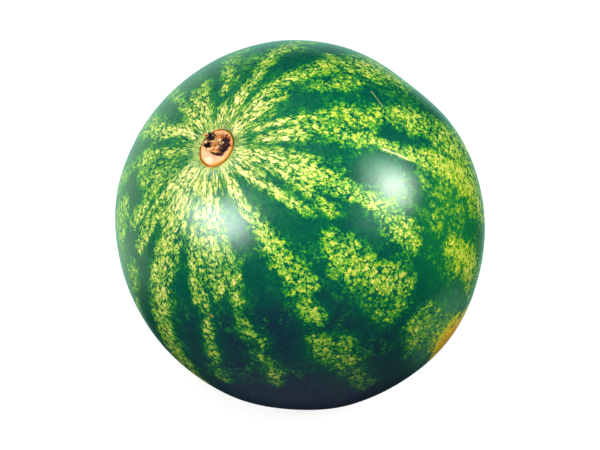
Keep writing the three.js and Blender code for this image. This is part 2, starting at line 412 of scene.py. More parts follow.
# %% Strokes of the upper and front side
STROKES = [
    # The long stripe at the left, and its short side branch.
    (
        1.12, (8, 250, 6), (20, 256, 6), (30, 256, 6.5), (40, 255.5, 5),
        (60, 256, 5.2), (80, 258.5, 5), (92, 260, 4.5),
    ),
    (0.9, (10, 263, 4), (25, 264, 4.5), (36, 263, 3.5), (43, 261.5, 2)),
    # The broad one in front: four narrow ones, and the two thin ones it breaks into.
    (0.68, (8, 286, 16), (22, 286, 15.5), (28, 285.5, 14.5), (37, 286, 12.5), (43, 286.5, 9)),
    (0.85, (8, 275, 4), (30, 274.5, 3), (40, 275, 2.8), (47, 276.5, 2.2)),
    (0.8, (8, 282, 4), (30, 281, 2.6), (38, 281, 2.8), (46, 279.5, 2), (50, 279.5, 1.6)),
    (0.92, (8, 289, 4.5), (28, 288.5, 4), (35, 289.5, 4.5), (40, 289, 4), (44, 286, 2)),
    (0.85, (8, 297, 4), (30, 296.5, 3), (38, 297.5, 3.4), (44, 295, 2.6), (51, 293, 1.6)),
    (0.9, (49, 280.5, 1.6), (54, 278.5, 2.4), (60, 278, 2.4), (67, 276.5, 3), (69, 276.5, 2)),
    (0.7, (72, 276.5, 3.2), (77, 276, 3.5), (80, 276, 2)),
    (0.85, (51, 294, 2), (56, 294.5, 2.6), (61, 297.5, 2.4), (64, 297, 1.5)),
    (0.85, (63, 293.5, 1.8), (68, 296, 2.6), (74, 295.5, 2.8), (80, 293.5, 2)),
    # The strong one right of it, in three lengths.
    (1.0, (8, 316, 5.5), (20, 319, 5.5), (30, 321, 6), (42, 321.6, 5.8), (48, 321.8, 5.8), (52, 323.5, 4)),
    (1.0, (52, 319, 2.4), (56, 319.5, 3.6), (60, 319, 3.8), (62.5, 317.5, 2.6)),
    (0.95, (63.5, 314, 2.6), (68, 315, 4.2), (72, 316.5, 6), (77, 316.5, 5.5), (82, 317, 4)),
    (0.45, (82, 316, 4), (90, 316, 4.5), (100, 316, 4)),
    # The one that bends to the right near the stem, and the big patches below it.
    (0.9, (8, 341, 7), (15, 342, 7), (20, 343.5, 4.8), (26, 344, 3), (31, 345.5, 3.2), (36, 347, 3)),
    (0.9, (22, 358, 2.2), (26, 357, 2.6), (31, 355.5, 2.8), (36, 353.5, 3.8), (41, 352.5, 2.8)),
    (0.85, (8, 348, 5.5), (14, 349.5, 5.5), (18.5, 349.5, 4.4)),
    (
        1.0, (42, 343, 4.5), (45, 342, 6.5), (50, 341.5, 7.4), (57, 341.5, 7.6),
        (64, 344, 7), (70, 345, 6.2), (75, 345, 4.2),
    ),
    (0.5, (62, 337, 4), (72, 338, 5), (80, 339, 5)),
    (0.8, (83, 342, 5), (88, 341, 7), (95, 341.5, 7.5), (103, 343, 9), (112, 344, 11)),
    # The brightest one, right of the stem.
    (0.56, (14, 13, 6), (25, 14, 6), (36, 12, 6), (40, 10, 4)),
    (
        1.1, (8, 5, 7), (14, 5.5, 8), (20, 5, 9), (27, 4.5, 9),
        (33, 6, 7), (38, 4.8, 5.4), (43, 5, 3.8), (47, 6, 3.4),
    ),
    (1.0, (46, 5.5, 4), (53, 3.5, 5.5), (60, 1, 5.5), (66, 0.5, 5), (69, -0.5, 2.5)),
    (0.85, (79.5, 5.5, 3), (84, 5.5, 5), (88, 5, 5), (95, 6, 5), (104, 5, 8), (112, 4, 9)),
    (0.28, (56, 17, 9), (64, 16, 13), (74, 13, 12), (86, 14, 11)),
    (0.45, (60, 21, 4), (65, 22, 5), (70, 22, 4)),
    # The wide one that splits in two.
    (0.9, (12, 43, 4), (20, 43, 3.6), (27, 42.5, 3.5)),
    (0.8, (12, 30, 5), (20, 30.5, 7), (26, 31, 8), (30, 33, 7.5)),
    (0.85, (28, 36, 9.5), (34, 36, 9.8), (40, 36.8, 9.5), (44, 36.8, 8), (49, 36, 5.5)),
    (1.2, (35, 41.5, 3.8), (40, 42, 4.8), (43.5, 41.5, 4)),
    (1.0, (49, 42, 4), (55, 43, 5), (62, 42.5, 6), (70, 43, 5), (77, 46, 3)),
    (
        1.05, (36, 30, 3), (46, 29.5, 3), (57, 27.5, 2.6), (68, 28.5, 4.6),
        (75, 29.5, 4.8), (90, 30, 6.5), (103, 29, 7.5),
    ),
    (0.95, (68, 38, 4), (74, 40, 6), (82, 41, 8), (90, 41, 9), (100, 42, 9)),
    # Up over the top.
    (0.95, (7, 70, 10), (12, 70, 12), (19, 70, 12)),
    (0.62, (18, 65, 5.5), (24, 66, 5.5), (28, 67, 3.5)),
    (0.9, (18, 77, 4.5), (26, 76.5, 5), (33, 75.5, 5.5), (38, 73.5, 5), (45, 73.5, 6), (52, 74, 6)),
    (0.5, (30, 67, 9), (40, 68, 11), (55, 68, 11)),
    (0.4, (22, 106, 6), (32, 107, 7), (42, 108, 7)),
    (0.85, (32, 62.5, 3.5), (38, 62, 5), (45, 61.5, 5), (51, 60, 4.5)),
    (0.3, (52, 55, 6), (62, 55, 8), (74, 55, 8)),
    (1.0, (48, 68, 6), (54, 68, 9), (64, 68, 10), (74, 68, 9)),
    (0.9, (7, 95, 7), (18, 95, 6), (24, 95, 4.2), (32, 96, 4.5), (40, 98, 5), (50, 97, 6)),
    (0.8, (7, 111, 6), (15, 112, 6.5)),
    (0.8, (19, 115, 4), (25, 115.5, 5.5), (32, 118, 7), (40, 120, 6.5), (48, 120, 6)),
    # Behind the stem and down the left side.
    (0.7, (8, 132, 4), (14, 133, 3.5), (28, 133, 4)),
    (0.85, (9, 142, 5), (20, 141, 7), (27, 141, 5)),
    (0.85, (8, 151, 5), (16, 151, 5), (24, 152, 4), (34, 152.5, 4), (44, 152, 4.5)),
    (0.95, (8, 170, 7), (14, 170, 7), (20, 175, 7.5), (26, 176, 8), (32, 173, 7), (44, 172, 6.5)),
    (0.85, (18, 194, 3.5), (24, 196, 6.5), (30, 195, 4.5), (36, 195, 3), (40, 198, 5), (50, 199, 6)),
    (0.6, (18, 204, 4), (25, 205, 4.5), (31, 204, 4)),
    (0.85, (17, 212.5, 2.3), (30, 213, 2)),
    (0.6, (19, 222, 4), (26, 222, 5), (31, 221, 4)),
    (1.0, (27, 226, 3), (34, 227, 4.6), (40, 227, 3.6)),
    (1.1, (38, 214, 4.5), (46, 215, 7.5), (54, 217, 9)),
    (0.5, (8, 205, 22), (20, 206, 18), (30, 206, 12)),
    (0.6, (7, 225, 12), (13, 227, 10), (18, 228, 6)),
    (0.95, (7, 245, 13), (15, 246, 12), (23, 247, 9), (27, 248, 6)),
    (0.45, (8, 145, 22), (22, 143, 14)),
    (0.85, (7, 232, 3), (20, 234, 2.6), (27, 234, 2), (33, 235, 3), (38, 236, 3)),
    (1.0, (7, 240, 4), (22, 240.5, 3), (28, 240, 3), (36, 239, 4), (43, 238, 3.4)),
    (0.85, (7, 249, 4), (22, 249, 3.5), (29, 248.5, 2)),
    (0.7, (46, 237, 4), (55, 237, 5), (63, 237, 4.5), (70, 238, 4)),
]
print(len(STROKES), "strokes painted by hand")

# %% [markdown]
# ## The same stripes, carried on to the flower end
# Round the back and underneath, the stripes go on. Painting them by hand would add little, so a
# seeded rule lays patches of random length along each stripe's longitude.

# %% Strokes of the back and the flower end
STRIPE_STARTS = [
    (98, 52), (120, 50), (150, 46), (172, 46), (198, 52), (217, 56), (238, 72), (259, 96),
    (277, 108), (295, 113), (316, 116), (343, 118), (5, 114), (27, 105), (42, 101), (68, 76),
]
LAST_POLAR = 166
chance = random.Random(11)
for start_longitude, start_polar in STRIPE_STARTS:
    at = start_polar
    while at < LAST_POLAR:
        length = chance.uniform(13, 30)
        middle = start_longitude + chance.uniform(-2.5, 2.5)
        half = chance.uniform(4.2, 7.2)
        STROKES.append((
            chance.uniform(0.8, 1.0),
            (at, start_longitude + chance.uniform(-2, 2), half * 0.6),
            (at + length * 0.3, middle, half),
            (at + length * 0.75, middle + chance.uniform(-1.5, 1.5), half * 0.95),
            (at + length, start_longitude + chance.uniform(-2, 2), half * 0.5),
        ))
        at += length + chance.uniform(-4, 3)
print(len(STROKES), "strokes in all")

# %% [markdown]
# ## From strokes to one field
# Each stroke is strongest on its middle line and fades away at its edge, and where strokes cross the
# strongest one wins. They could be added up, but then crossings would show as bright knots. The
# finish later breaks the faded edge up into blotches. A second, wider field keeps how far the
# strokes reach, to tell the bands between the stripes from the stripes' own edges.

# %% Paint the strokes on the skin
FADE = 2.5
HALO = 1.9


def brush(strength, places, widen=1.0):
    """The strength is halved at the half width, and a high FADE makes the edge steep."""
    along, middle, half = np.array(places, dtype=float).T
    across = (longitude - np.interp(polar, along, middle) + 180) % 360 - 180
    cover = 0.5 ** (np.abs(across) / np.interp(polar, along, half) / widen) ** FADE
    before = soft_step(polar, along[0] - 3, along[0] + 2)
    after = 1 - soft_step(polar, along[-1] - 2, along[-1] + 3)
    return strength * cover * before * after


stripe = np.zeros_like(polar)
reach = np.zeros_like(polar)
for strength, *places in STROKES:
    stripe = np.maximum(stripe, brush(strength, places))
    reach = np.maximum(reach, brush(1.0, places, widen=HALO))
near_ends = 1 - soft_step(np.minimum(polar, 180 - polar), 6.5, 15)
stripe = np.maximum(stripe, 0.5 * near_ends)
keep_field(skin, "stripe", stripe)
keep_field(skin, "polar", polar)
print("share of the skin under light stripes:", (stripe > 0.4).mean().round(3))

# %% [markdown]
# ## The grain that the pattern follows
# Near both ends the blotches are drawn out into fine streaks, and round the middle they are as wide
# as long. A noise in object space has the same grain everywhere, and scaling it along one axis would
# stretch the middle as well. So each point gets a place in a bent space, in which the ends are thick
# and short, and an even noise there comes out drawn out on the fruit.

# %% Work out the grain
END_GIRTH = 0.42
end_angle = np.minimum(polar, 180 - polar)
turn = np.radians(longitude)
bend = np.radians(end_angle)
girth = SKIN_MM * np.hypot(np.sin(bend), END_GIRTH) / math.hypot(1, END_GIRTH)
depth = SKIN_MM * (0.28 * bend + 0.41 * bend**2 - 0.08 * bend**3)
depth = np.where(polar < 90, depth, 2 * depth.max() - depth)
keep_field(skin, "grain", np.stack([girth * np.cos(turn), girth * np.sin(turn), depth], axis=1))
print("length of the grain along the axis:", depth.max().round(1))

# %% [markdown]
# ## The ground spot and other large zones
# Where the fruit lay on the soil no light reached it, and the rind stayed yellow. The spot is a tall
# oval with a soft edge, low on the right side, and the green round it is paler. The bands also
# change from side to side: fresh green on the right, creamier stripes at the front left, and low in
# front they are painted nearly navy, which is painted shade for the underside that turns away from
# the lights. Each zone is a field of its own, made from the distance to its middle. It could be
# painted by hand in Texture Paint mode, but a field can be moved by one number.

# %% Paint the large zones
def direction(at_longitude, at_polar):
    turn, tilt = math.radians(at_longitude), math.radians(at_polar)
    return np.array([math.sin(tilt) * math.cos(turn), math.sin(tilt) * math.sin(turn), math.cos(tilt)])


SPOT_LONGITUDE, SPOT_POLAR = 344, 132
spot_across = ((longitude - SPOT_LONGITUDE + 180) % 360 - 180) * np.sin(np.radians(polar))
spot_reach = np.where(spot_across < 0, 12, 17)
from_spot = np.hypot(spot_across / spot_reach, (polar - SPOT_POLAR) / 31)
ground = 1 - soft_step(from_spot, 0.55, 1.25)
keep_field(skin, "ground", ground)
keep_field(skin, "paler", 1 - soft_step(from_spot, 0.9, 1.7))

outward = own / np.linalg.norm(own, axis=1, keepdims=True)
keep_field(skin, "outward", outward)


def angle_from(at_longitude, at_polar):
    """How far each point of the skin is from a place on it, in degrees."""
    return np.degrees(np.arccos(np.clip(outward @ direction(at_longitude, at_polar), -1, 1)))


from_greener = angle_from(13, 84)
keep_field(skin, "greener", 1 - soft_step(from_greener, 8, 28))
keep_field(skin, "creamier", 0.4 * (1 - soft_step(angle_from(266, 34), 14, 36)))
# Painted shade: low in front and away from the stripes, the bands turn navy.
night = (1 - reach) * soft_step(polar, 34, 58) * soft_step(from_greener, 26, 44)
night *= 1 - soft_step(angle_from(300, 90), 40, 66)
keep_field(skin, "night", night)
print("points on the ground spot:", int((ground > 0.5).sum()))

# %% [markdown]
# ## The rind's finish: where it is light
# One number, the tone, says how light the rind is at each place: it is the stripe field plus noise.
# A hard threshold on it would give two flat colours, and a smooth rise gives each blotch a darker
# edge and a lime halo. Where the field fades, the noise decides, and the stripe breaks up. Rounded
# cells give the blotches their size, fine grit roughens them, and thin dark cracks cut them into
# islands. Near the stem, dust adds pale flecks.

# %% Noises, cells and cracks
BLOTCHES_PER_MM = 0.40
ISLANDS_PER_MM = 0.19
rind = Finish(bpy.data.materials.new("striped rind"))
grain = rind.attribute("grain", "Vector")
outward_field = rind.attribute("outward", "Vector")
fields = [rind.attribute(name) for name in ("stripe", "polar", "ground", "greener")]
stripe_field, polar_field, ground_field, greener_field = fields

wander = rind.vector("SUBTRACT", rind.noise(grain, 0.35, 4.0, 0.65, "Color"), (0.5, 0.5, 0.5))
bent_grain = rind.vector("MULTIPLY_ADD", wander, (4.5, 4.5, 4.5), grain)
ragged = rind.noise(grain, 0.075, 3.0, 0.6) - 0.5
clumps = rind.noise(bent_grain, 0.20, 3.0, 0.6) - 0.5
fine = rind.noise(bent_grain, 0.52, 3.0, 0.65) - 0.5
grit = rind.noise(grain, 1.0, 2.0, 0.7) - 0.5
dome = 0.5 - rind.cells(bent_grain, BLOTCHES_PER_MM)
lot = rind.vector("DOT_PRODUCT", rind.cells(bent_grain, BLOTCHES_PER_MM, "F1", "Color"), (1, 0, 0)) - 0.5
to_seam = rind.cells(bent_grain, BLOTCHES_PER_MM, "DISTANCE_TO_EDGE")
seam = 1 - rind.step(to_seam + fine * 0.45, 0.0, 0.18)
to_crack = rind.cells(bent_grain, ISLANDS_PER_MM, "DISTANCE_TO_EDGE")
crack = 1 - rind.step(to_crack + fine * 0.45, 0.0, 0.17)
near_stem = 1 - rind.step(polar_field, 8, 38)
dust = (rind.noise(outward_field, 120.0, 2.0, 0.7) - 0.5) * (1 - rind.step(polar_field, 9, 24))
print("noises ready")

# %% The tone
level = stripe_field - 0.42 + ragged * 1.5 + near_stem * 0.12 + greener_field * 0.22
body = rind.step(level, -0.55, 0.55)
mottle = clumps * 1.6 + dome * 0.6 + fine * 1.9 + grit * 2.4 + lot * 0.5 - seam * 0.3 - crack * 0.65
shows = (0.22 + 0.78 * body) * (1 - greener_field * body * 0.35)
richer = rind.step(level, 0.35, 1.0) * 0.30
tone = body * 1.08 - 0.41 + near_stem * 0.16 + richer + mottle * shows + dust * 1.5
print("tone ready")

# %% [markdown]
# ## The rind's finish: its greens
# The bands between the stripes are a deep bluish green, mottled with a lighter one. The zones turn
# them fresher or teal, and low in front navy, which is painted shade. The light blotches run up a
# ramp, from leaf green through lime to pale yellow, in three kinds: plain, yellower, and creamy for
# the stem end. One ramp would make all stripes look alike.

# %% Colours of the bands
DEEP = paint(4, 66, 54)
BAND = paint(6, 84, 56)
# The navy of the painted shade low in front.
PAINTED_SHADE_NAVY = paint(17, 43, 58)
TEAL = paint(42, 114, 78)
GREEN = paint(10, 100, 50)

band = rind.mix(rind.step(ragged + fine + grit, -0.3, 0.3), DEEP, BAND)
greener = rind.mix(greener_field * 0.8, band, GREEN)
# Painted shade: navy over the bands low in front, broken up by noise.
painted_shade_mask = rind.attribute("night") * rind.step(ragged + fine * 0.5, -0.45, 0.05)
nightly = rind.mix(painted_shade_mask, greener, PAINTED_SHADE_NAVY)
dark = rind.mix(near_stem * rind.step(fine + clumps, -0.3, 0.3), nightly, TEAL)
print("bands ready")

# %% Colours of the light blotches
def tone_ramp(*colours):
    """A ramp along the tone, with its colours evenly spaced."""
    last = len(colours) - 1
    return rind.ramp(tone * 0.8, [(index / last, *colour) for index, colour in enumerate(colours)])


plain = tone_ramp(
    (18, 110, 46), (58, 142, 46), (100, 166, 50), (144, 181, 62), (174, 186, 80), (200, 196, 112),
)
yellower = tone_ramp(
    (18, 110, 46), (78, 142, 36), (132, 170, 36), (174, 192, 46), (196, 197, 72), (220, 210, 122),
)
creamy = tone_ramp(
    (36, 112, 48), (96, 150, 56), (154, 178, 80), (196, 194, 108), (220, 208, 134), (242, 226, 168),
)
lime = rind.step(lot + fine, -0.2, 0.4) * 0.7
light = rind.mix(lime + greener_field * (0.9 - lime), plain, yellower)
patches = rind.mix(rind.math("MAXIMUM", near_stem, rind.attribute("creamier")), light, creamy)
base = rind.mix(rind.step(tone, -0.35, 0.04), dark, patches)
blob = rind.step(tone, 0.1, 0.6)
print("colours ready")

# %% [markdown]
# ## Over the stripes: ground spot and stem rim
# The ground spot is lime at its ragged edge, then yellow, then orange in the middle. Round the stalk
# scar is a narrow yellow-green rim. On its far side the rim is painted dark olive, a painted shadow of
# the groove there. Elsewhere the groove at the callus is painted golden: partly the callus's own golden
# edge, and partly painted light that fills the groove's shade. These could be decals, but as masks in
# the same finish they share the rind's noise.

# %% Lay the ground spot over the stripes
paler = rind.attribute("paler") * rind.step(ragged + clumps * 1.6 + fine * 2 + grit, -1.0, 0.6)
around = rind.mix(paler * (0.85 - rind.step(tone, -0.3, 0.1) * 0.6), base, paint(92, 160, 124))
spot_edge = rind.step(ground_field + ragged * 0.9 + clumps * 0.9 + fine * 0.6 + blob * 0.2, 0.40, 0.74)
spot_colour = rind.ramp(ground_field + ragged * 0.5 + clumps * 0.35 + fine * 0.5 + grit * 0.4, [
    (0.35, 166, 200, 52), (0.6, 226, 220, 48),
    (0.8, 255, 212, 36), (0.95, 255, 188, 24),
])
with_spot = rind.mix(spot_edge * (0.96 - crack * 0.25), around, spot_colour)
print("ground spot ready")

# %% Lay the stem rim over the stripes
OVAL = 0.88
rim_mask = 1 - rind.step(polar_field + ragged * 3.0 + fine * 4.0, 6.0, 8.0)
rim_share = rind.step(fine + grit + dust * 2, -0.3, 0.35)
rim_colour = rind.mix(rim_share, paint(84, 128, 48), paint(202, 204, 112))
# Painted shadow: the far side of the rim is darkened to olive, where the groove is shaded.
far_side_painted_shadow = rind.step(rind.vector("DOT_PRODUCT", outward_field, (0.55, 0.83, 0)), 0.03, 0.09)
rim_colour = rind.mix(far_side_painted_shadow * 0.8, rim_colour, paint(58, 84, 22))
skin_colour = rind.mix(rim_mask * 0.65, with_spot, rim_colour)
seat_place = rind.vector("MULTIPLY", outward_field, (SKIN_MM / OVAL, SKIN_MM, 0))
# Painted light: the groove is painted golden like the callus's edge, which lifts its shade on the near
# side.
groove_gold_and_light = 1 - rind.step(rind.vector("LENGTH", seat_place), 11.5, 12.0)
skin_colour = rind.mix(groove_gold_and_light * (1 - far_side_painted_shadow), skin_colour, paint(240, 152, 62))
print("stem rim ready")

# %% [markdown]
# ## Four small marks
# Handling left a pale scratch, a cream streak, a faint dark scratch and an orange fleck. Each is a
# line between two places on the skin. The finish measures how far a point is from it, and grit makes
# its edge uneven. Strips of mesh would show as lines too, but stand up from the skin.

# %% Draw the marks
MARKS = [
    # (longitude, polar) of both ends in degrees, half width in mm, strength, colour
    ((53.9, 50.8), (46.0, 52.2), 0.36, 0.75, paint(142, 172, 92)),
    ((26.6, 49.4), (25.3, 58.2), 0.50, 0.80, paint(238, 226, 160)),
    ((323.6, 77.8), (325.0, 85.2), 0.35, 0.40, paint(70, 124, 88)),
    ((281.2, 49.5), (282.2, 50.5), 0.34, 0.60, paint(224, 156, 66)),
]
for first, second, half_width, strength, colour in MARKS:
    near_end = Vector(direction(*first))
    along = Vector(direction(*second)) - near_end
    from_end = rind.vector("SUBTRACT", outward_field, tuple(near_end))
    share = rind.vector("DOT_PRODUCT", from_end, tuple(along / along.length_squared))
    share = rind.math("MINIMUM", rind.math("MAXIMUM", share, 0.0), 1.0)
    shares = rind.node("ShaderNodeCombineXYZ", {}, (share, share, share))
    nearest = rind.vector("MULTIPLY", shares, tuple(along))
    across = rind.vector("DISTANCE", from_end, nearest) * SKIN_MM
    on_mark = 1 - rind.step(across + grit * 1.4, half_width * 0.5, half_width * 1.5)
    skin_colour = rind.mix(on_mark * strength, skin_colour, colour)
print(len(MARKS), "marks drawn")

# %% [markdown]
# ## Shine and relief
# The rind is waxy, so its highlights are fairly sharp, and its pores and blotches are a very fine
# relief. Modelled pores would need millions of faces, and a bump shows the same. The rim is duller.

# %% Finish the rind
pores = rind.noise(grain, 1.6, 3.0, 0.6)
relief = blob * 0.12 + pores * 0.42 + fine * 0.2
roughness = 0.17 + (pores - 0.5) * 0.12 + blob * 0.03 + (1 - rind.step(polar_field, 7.5, 11)) * 0.3
bumps = rind.bump(relief, 0.35 * MM, 0.6)
rind_material = rind.surface(Base_Color=skin_colour, Roughness=roughness, Normal=bumps, IOR=1.45)

# %% Put the rind on the frame
finish_piece(skin, "skin", "fruit", rind_material)

# %% [markdown]
# ## The callus
# Where the stalk broke away, the fruit sealed itself with a corky pad: round at its shoulder, dished
# in its middle, a little oval. A squashed sphere would have no dish, so a flat disc is inset ring by
# ring, and each new ring is lifted or lowered.

# %% Build the callus ring by ring
CALLUS_FLOOR = 110.05 * MM
CALLUS_RADIUS = 11.3 * MM
callus = start_disc(CALLUS_RADIUS - 0.5 * MM, CALLUS_FLOOR, 72)
extrude((0, 0, 0.7 * MM), 1.048)
extrude((0, 0, 1.2 * MM))
add_rings([(0.25, 0.5), (0.5, 0.5), (0.8, 0.42), (1.0, 0.1)])
add_rings([(1.1, -0.15), (1.2, -0.4), (1.3, -0.35), (1.4, -0.15), (1.4, 0)])
bpy.ops.mesh.select_all(action="SELECT")
bpy.ops.transform.resize(value=(OVAL, 1, 1))
close_up()
print("callus rings:", len(callus.data.polygons), "faces")

# %% [markdown]
# ## Corky skin
# The callus is dry and finely cracked, peach coloured with an orange rim, and painted nearly white
# at its lower front edge, which is painted light where that edge faces the front left lamp. Its
# colour changes with the place on the scar, so the upright places are kept in millimetres before the
# piece is leaned over. Object coordinates would need the lean undone.

# %% Round off the callus and keep its places
round_off(callus)
press_unevenly(callus, 0.35, 2.2)
keep_field(callus, "spot", places_in_mm(callus))
print("callus top in mm:", places_in_mm(callus)[:, 2].max().round(2))

# %% The callus's finish
cork = Finish(bpy.data.materials.new("corky callus"))
spot = cork.attribute("spot", "Vector")
from_axis = cork.vector("LENGTH", cork.vector("MULTIPLY", spot, (1 / OVAL, 1, 0)))
# Painted light: the lower front edge, which faces the front left lamp, is painted nearly white.
from_lit_edge = cork.vector("DISTANCE", spot, (-1.0, -9.0, 112.5))
from_stalk = cork.vector("DISTANCE", cork.vector("MULTIPLY", spot, (1, 1, 0)), (1.5, 2.5, 0))
blotch = cork.noise(spot, 0.45, 4.0, 0.6) - 0.5
speck = cork.noise(spot, 2.4, 3.0, 0.65)
paleness = cork.step(blotch + (speck - 0.5) * 0.5, -0.2, 0.25)
flesh = cork.mix(paleness, paint(232, 158, 108), paint(244, 206, 164))
painted_lit_edge = cork.mix(1 - cork.step(from_lit_edge + blotch * 9, 0.6, 4.5), flesh, paint(238, 212, 176))
rimmed = cork.mix(cork.step(from_axis + blotch * 3.4, 9.7, 10.7), painted_lit_edge, paint(244, 160, 66))
stain = 1 - cork.step(from_stalk + blotch * 9 + (speck - 0.5) * 5, 4.5, 9.0)
stained = cork.mix(stain * 0.8, rimmed, paint(168, 80, 34))
speckled = cork.mix((1 - cork.step(speck, 0.32, 0.46)) * 0.6, stained, paint(168, 92, 48))
cork_material = cork.surface(
    Base_Color=speckled,
    Roughness=0.75 + (speck - 0.5) * 0.3,
    Normal=cork.bump(speck * 0.9 + blotch * 1.2, 0.6 * MM, 1.0),
    Specular_IOR_Level=0.25,
)

# %% [markdown]
# ## The torn stalk
# What is left of the stalk is a crumbled pad of dry tissue on the callus, off its middle, with torn
# fibres that stand up in it and two black tufts that hang over one side. Particle hair could make
# the fibres, but they are few and thick, so a few bent strands are modelled and copied. The pad
# comes first: a disc raised ring by ring and then roughened.

# %% Raise the pad
def height_on(piece, x, y):
    """Where the top of an upright piece is, at a place in mm."""
    place = piece.ray_cast(Vector((x * MM, y * MM, 0.2)), Vector((0, 0, -1)))[1]
    return place.z / MM


PAD_MIDDLE = (1.6, 2.0)
pad = start_disc(7.0 * MM, 0, 40)
extrude((0, 0, 0.9 * MM))
add_rings([(0.5, 0.6), (0.9, 0.35), (1.0, 0.1), (1.1, -0.1), (1.1, -0.2), (1.1, -0.1), (1.0, 0)])
bpy.ops.mesh.select_all(action="SELECT")
bpy.ops.transform.resize(value=(1.0, 0.92, 1))
pad_height = height_on(callus, *PAD_MIDDLE) - 0.5
bpy.ops.transform.translate(value=Vector((*PAD_MIDDLE, pad_height)) * MM)
close_up()
round_off(pad)
press_unevenly(pad, 1.9, 1.5, 3)
press_unevenly(pad, 0.8, 0.5, 2)
print("pad height in mm:", places_in_mm(pad)[:, 2].max().round(2))

# %% [markdown]
# ## Strands
# A strand is a thin six-sided tube that bends and tapers to a blunt torn end. A curve could be given
# a thickness, but extruding step by step lets each step bend it and change its girth. Three are
# enough, because turning and stretching hides that they repeat.

# %% Model three strands
def model_strand(*steps):
    """Each step is (sideways, forwards, up) in mm, and how much the girth changes."""
    strand = start_disc(0.42 * MM, 0, 6)
    centre = Vector((0, 0, 0))
    for *move, change in steps:
        centre += Vector(move) * MM
        extrude(Vector(move) * MM)
        bpy.ops.transform.resize(value=(change, change, 1), center_override=tuple(centre))
    close_up()
    return strand


STRANDS = [
    model_strand(
        (0.1, 0, 0.8, 1.1), (0.25, 0.1, 0.9, 0.9), (0.3, 0.25, 0.9, 0.85),
        (0.1, 0.4, 0.8, 0.7), (-0.2, 0.3, 0.6, 0.5),
    ),
    model_strand(
        (-0.15, 0.1, 0.7, 0.95), (-0.1, 0.3, 0.8, 1.15), (0.3, 0.2, 0.9, 0.8),
        (0.45, -0.1, 0.9, 0.9), (0.3, -0.3, 0.7, 0.6),
    ),
    model_strand(
        (0, 0.2, 0.9, 1.2), (0.1, -0.3, 0.8, 1.0), (-0.3, -0.3, 0.9, 1.1),
        (-0.1, 0.2, 0.8, 0.75), (0.2, 0.3, 0.6, 0.8),
    ),
]
print("strands of", [count_triangles(strand) for strand in STRANDS], "triangles")

# %% [markdown]
# ## Where the strands stand
# The fibres stand in bunches: golden ones in the middle, a shrivelled dark side, pale torn
# ends towards the front, and the two black tufts. An even scatter would look like a brush, so each
# bunch has a row of its own, in millimetres and degrees. A tone is 0 for black and 1 for straw.

# %% Set the bunches
BUNCHES = [
    # (count, root, scatter, toward, fan, rise, length, thickness, tone)
    (34, (0.4, 2.8), (3.0, 3.4), 90, 360, (20, 75), (0.40, 0.85), 0.7, 0.72),
    (12, (0.0, 2.6), (2.8, 3.2), 90, 360, (20, 70), (0.35, 0.70), 0.7, 0.97),
    (52, (5.2, 2.6), (2.7, 3.7), 15, 200, (2, 35), (0.35, 0.60), 1.05, 0.17),
    (16, (4.2, 6.0), (2.4, 1.0), 70, 160, (4, 30), (0.35, 0.60), 0.95, 0.34),
    (20, (0.6, -3.4), (4.2, 0.5), 0, 50, (0, 18), (0.45, 0.80), 0.8, 0.20),
    (16, (0.2, -2.6), (3.4, 0.6), 180, 60, (0, 22), (0.45, 0.80), 0.8, 0.66),
    (12, (-2.2, -1.1), (1.2, 0.9), 225, 110, (4, 26), (0.35, 0.60), 0.8, 0.98),
    (42, (-4.3, 4.8), (2.1, 1.2), 172, 120, (-2, 26), (0.45, 0.80), 1.05, 0.0),
    (5, (-6.6, 4.7), (0.5, 0.5), 172, 26, (4, 16), (0.80, 1.10), 0.9, 0.68),
    (24, (-4.5, -0.5), (1.6, 0.7), 180, 90, (-2, 18), (0.40, 0.66), 1.1, 0.0),
    (5, (-2.9, 1.3), (0.9, 0.7), 210, 120, (0, 30), (0.35, 0.60), 0.9, 0.05),
]
torn = random.Random(5)
fibres = []
for count, root, scatter, toward, fan, rise, length, thick, tone in BUNCHES:
    for _ in range(count):
        x, y = [middle + torn.uniform(-most, most) for middle, most in zip(root, scatter)]
        fibre = torn.choice(STRANDS).copy()
        fibre.data = fibre.data.copy()
        bpy.context.scene.collection.objects.link(fibre)
        width = thick * torn.uniform(0.75, 1.2)
        stretch = torn.uniform(*length)
        tilt = math.radians(90 - torn.uniform(*rise))
        heading = math.radians(toward + torn.uniform(-fan, fan) / 2)
        ground_height = max(height_on(callus, x, y) + 0.3, height_on(pad, x, y) - 0.2)
        place = Matrix.Translation(Vector((x, y, ground_height)) * MM)
        fibre.matrix_world = (
            place
            @ Matrix.Rotation(heading, 4, "Z")
            @ Matrix.Rotation(tilt, 4, "Y")
            @ Matrix.Rotation(torn.uniform(0, 6.3), 4, "Z")
            @ Matrix.Diagonal((width, width, stretch, 1))
        )
        shade = np.full(len(fibre.data.vertices), min(max(tone + torn.uniform(-0.12, 0.12), 0), 1))
        keep_field(fibre, "tone", shade)
        fibres.append(fibre)
for strand in STRANDS:
    bpy.data.objects.remove(strand)
print(len(fibres), "fibres")

# %% [markdown]
# ## One stalk remnant
# Pad and fibres grew as one piece, so they are joined. They could stay apart, but then each would
# need its finish set. The pad first gets tones: dark on the shrivelled side and golden elsewhere.

# %% Join the pad and the fibres
pad_places = places_in_mm(pad)
from_dark = np.hypot(pad_places[:, 0] - 5.8, (pad_places[:, 1] - 3.2) * 0.8)
keep_field(pad, "tone", 0.14 + 0.50 * soft_step(from_dark, 2.8, 6.2))
select_only(pad)
for fibre in fibres:
    fibre.select_set(True)
bpy.ops.object.join()
remnant = bpy.context.object
keep_field(remnant, "spot", places_in_mm(remnant))
bpy.ops.object.shade_smooth_by_angle(angle=math.radians(50))
print("remnant has", count_triangles(remnant), "triangles")

